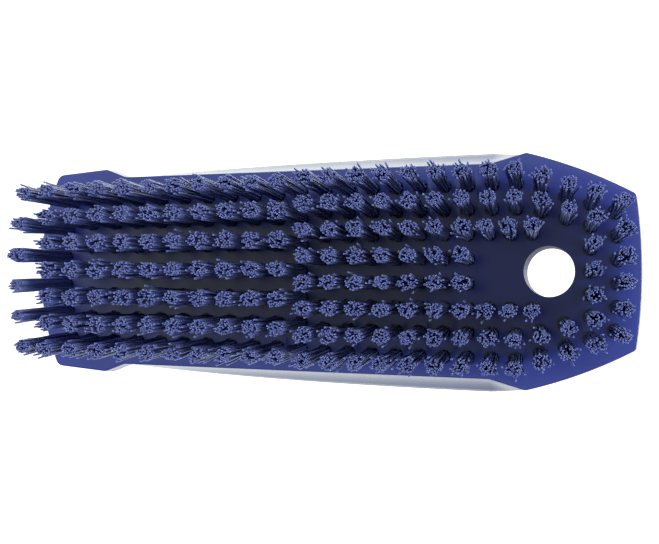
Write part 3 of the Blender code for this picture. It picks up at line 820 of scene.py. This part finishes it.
def filament_finishes():
    """Extruded filaments that differ a little in tone, first the shafts and then the cut ends, whose
    tones are painted paler as a painted highlight.
    """
    finishes = []
    for finish in FILAMENT_KINDS:
        for number, colour in enumerate(finish.tones, start=1):
            material, _, _, shader = new_material(f"bristle_{finish.kind}_{number}")
            shader.inputs["Base Color"].default_value = (*colour, 1.0)
            shader.inputs["Roughness"].default_value = finish.roughness
            shader.inputs["IOR"].default_value = FILAMENT_IOR
            shader.inputs["Specular IOR Level"].default_value = finish.specular
            shader.inputs["Sheen Weight"].default_value = finish.sheen
            shader.inputs["Sheen Roughness"].default_value = SHEEN_ROUGHNESS
            shader.inputs["Sheen Tint"].default_value = (*SHEEN_TINT, 1.0)
            shader.inputs["Subsurface Weight"].default_value = 1.0
            shader.inputs["Subsurface Radius"].default_value = SUBSURFACE_RADIUS
            shader.inputs["Subsurface Scale"].default_value = SUBSURFACE_SCALE
            finishes.append(material)
    return finishes


def add_camera():
    data = bpy.data.cameras.new("camera")
    data.sensor_width = CAMERA_SENSOR_WIDTH
    data.lens = CAMERA_LENS
    data.clip_start, data.clip_end = CAMERA_CLIP
    camera = bpy.data.objects.new("camera", data)
    bpy.context.scene.collection.objects.link(camera)
    camera.location = CAMERA_PLACE
    camera.rotation_euler = [math.radians(angle) for angle in CAMERA_TURN]
    bpy.context.scene.camera = camera


def add_soft_box(name, place, width, height, radiance):
    """A rectangular lamp that faces the middle of the brush and looks radiance times white."""
    data = bpy.data.lights.new(name, "AREA")
    data.shape = "RECTANGLE"
    data.size = width
    data.size_y = height
    data.energy = radiance * math.pi * width * height
    lamp = bpy.data.objects.new(name, data)
    bpy.context.scene.collection.objects.link(lamp)
    lamp.location = place
    lamp.visible_glossy = name in MIRRORED_BOXES
    aim = Vector((0.0, 0.0, AIM_HEIGHT)) - Vector(place)
    lamp.rotation_mode = "QUATERNION"
    lamp.rotation_quaternion = aim.to_track_quat("-Z", "Y")


def worked_out(nodes, links, operation, *terms):
    """Result of a math node, where each term is a number or another node's output."""
    math_node = nodes.new("ShaderNodeMath")
    math_node.operation = operation
    for socket, term in zip(math_node.inputs, terms):
        if isinstance(term, bpy.types.NodeSocket):
            links.new(term, socket)
        else:
            socket.default_value = term
    return math_node.outputs["Value"]


def by_height(nodes, links, height, stops):
    """A level that follows (height, level) stops."""
    most = max(level for _, level in stops)
    ramp = nodes.new("ShaderNodeValToRGB")
    links.new(spread(nodes, links, height, -1.0, 1.0, 0.0, 1.0), ramp.inputs["Fac"])
    elements = ramp.color_ramp.elements
    for number, (place, level) in enumerate(stops):
        position = (place + 1.0) / 2.0
        stop = elements[number] if number < 2 else elements.new(position)
        stop.position = position
        shade = level / most
        stop.color = (shade, shade, shade, 1.0)
    return worked_out(nodes, links, "MULTIPLY", ramp.outputs["Color"], most)


def add_world():
    """White for the camera. Mirrored rays and the light on rough faces follow levels by height,
    and what is mirrored also dims towards one side.
    """
    world = bpy.data.worlds.new("studio")
    bpy.context.scene.world = world
    world.use_nodes = True
    nodes = world.node_tree.nodes
    links = world.node_tree.links
    background = nodes["Background"]
    path = nodes.new("ShaderNodeLightPath").outputs
    mirror_rays = (path["Is Glossy Ray"], path["Is Transmission Ray"])
    mirrored = worked_out(nodes, links, "MAXIMUM", *mirror_rays)
    tint = between(nodes, links, mirrored, WHITE, STUDIO_TINT)
    links.new(tint, background.inputs["Color"])
    direction = nodes.new("ShaderNodeSeparateXYZ")
    links.new(nodes.new("ShaderNodeTexCoord").outputs["Generated"], direction.inputs["Vector"])
    seen = by_height(nodes, links, direction.outputs["Z"], REFLECTED_LEVELS)
    sideways = direction.outputs["Y"]
    tilt = worked_out(nodes, links, "MULTIPLY_ADD", sideways, REFLECTED_TILT, 1.0)
    tilted = worked_out(nodes, links, "MULTIPLY", seen, tilt)
    light = by_height(nodes, links, direction.outputs["Z"], LIGHT_LEVELS)
    mix = nodes.new("ShaderNodeMix")
    mix.data_type = "FLOAT"
    links.new(mirrored, mix.inputs["Factor"])
    links.new(light, mix.inputs["A"])
    links.new(tilted, mix.inputs["B"])
    camera_ray = path["Is Camera Ray"]
    strength = worked_out(nodes, links, "MAXIMUM", camera_ray, mix.outputs["Result"])
    links.new(strength, background.inputs["Strength"])


def add_floor():
    """A pale floor that is seen only from above, so that the brush can be seen from below."""
    shape = bmesh.new()
    bmesh.ops.create_circle(shape, cap_ends=True, segments=FLOOR_SIDE_COUNT, radius=FLOOR_RADIUS)
    floor = link("floor", mesh_from("floor", shape))
    if floor.data.polygons[0].normal.z < 0.0:
        floor.data.flip_normals()
    material, nodes, links, shader = new_material("floor")
    shader.inputs["Base Color"].default_value = (*FLOOR_COLOUR, 1.0)
    shader.inputs["Roughness"].default_value = FLOOR_ROUGHNESS
    clear = nodes.new("ShaderNodeBsdfTransparent")
    side = nodes.new("ShaderNodeNewGeometry")
    away = nodes.new("ShaderNodeVectorMath")
    away.operation = "LENGTH"
    links.new(nodes.new("ShaderNodeTexCoord").outputs["Object"], away.inputs[0])
    fade = spread(nodes, links, away.outputs["Value"], FLOOR_FADE_START, FLOOR_RADIUS, 0.0, 1.0)
    mix = nodes.new("ShaderNodeMixShader")
    hidden = worked_out(nodes, links, "MAXIMUM", side.outputs["Backfacing"], fade)
    links.new(hidden, mix.inputs["Fac"])
    links.new(shader.outputs["BSDF"], mix.inputs[1])
    links.new(clear.outputs["BSDF"], mix.inputs[2])
    links.new(mix.outputs["Shader"], nodes["Material Output"].inputs["Surface"])
    floor.data.materials.append(material)
    floor.visible_diffuse = False
    floor.visible_glossy = False
    floor.visible_transmission = False
    floor.visible_shadow = False


def build():
    rows = tuft_rows()
    finishes = [
        block_finish("block_moulded_plastic", MOULDED_GLOSS),
        block_finish("block_hole_plastic", HOLE_GLOSS),
    ]
    block = drilled_block(rows, finishes)
    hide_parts("brush_block")
    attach(block, "root")
    bristle_finishes = filament_finishes()
    for number, (name, roots, filaments) in enumerate(rows):
        chance = np.random.default_rng(FIRST_SEED + number)
        row = tuft_row_object(name.replace("tuft_row", "bristles"), roots, filaments, chance)
        for finish in bristle_finishes:
            row.data.materials.append(finish)
        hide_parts(name)
        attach(row, "root")
    add_floor()
    add_world()
    for soft_box in SOFT_BOXES:
        add_soft_box(*soft_box)
    add_camera()
    bpy.context.scene.view_settings.view_transform = "Standard"


build()
